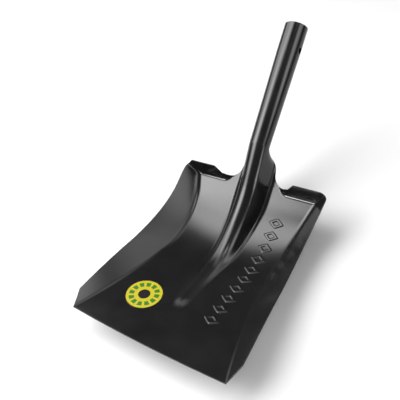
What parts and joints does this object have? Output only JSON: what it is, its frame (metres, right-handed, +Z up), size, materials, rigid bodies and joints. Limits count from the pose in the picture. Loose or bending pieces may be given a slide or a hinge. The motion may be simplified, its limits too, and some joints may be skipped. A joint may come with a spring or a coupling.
{
  "type": "scoop shovel head",
  "caption": "Dished pressed-steel shovel head with flared sides, straight front edge, ridged neck and a rolled socket for a straight handle.",
  "frame": {"origin": "middle of the overall box, on the ground that the belly of the pan rests on", "axes": "+Y from the cutting edge towards the socket mouth, +Z up, +X across the pan"},
  "size_m": [0.2892, 0.548, 0.2544],
  "materials": {
    "blade_paint": "gloss black paint over pressed sheet steel",
    "socket_paint": "gloss black paint over a rolled steel tube",
    "weld_paint": "gloss black paint over dressed weld",
    "label_film": "printed vinyl film, semi-gloss"
  },
  "bodies": {
    "root": {"blade": "blade_paint", "neck_weld": "weld_paint", "socket": "socket_paint", "seam_weld": "weld_paint", "label": "label_film"}
  },
  "joints": []
}
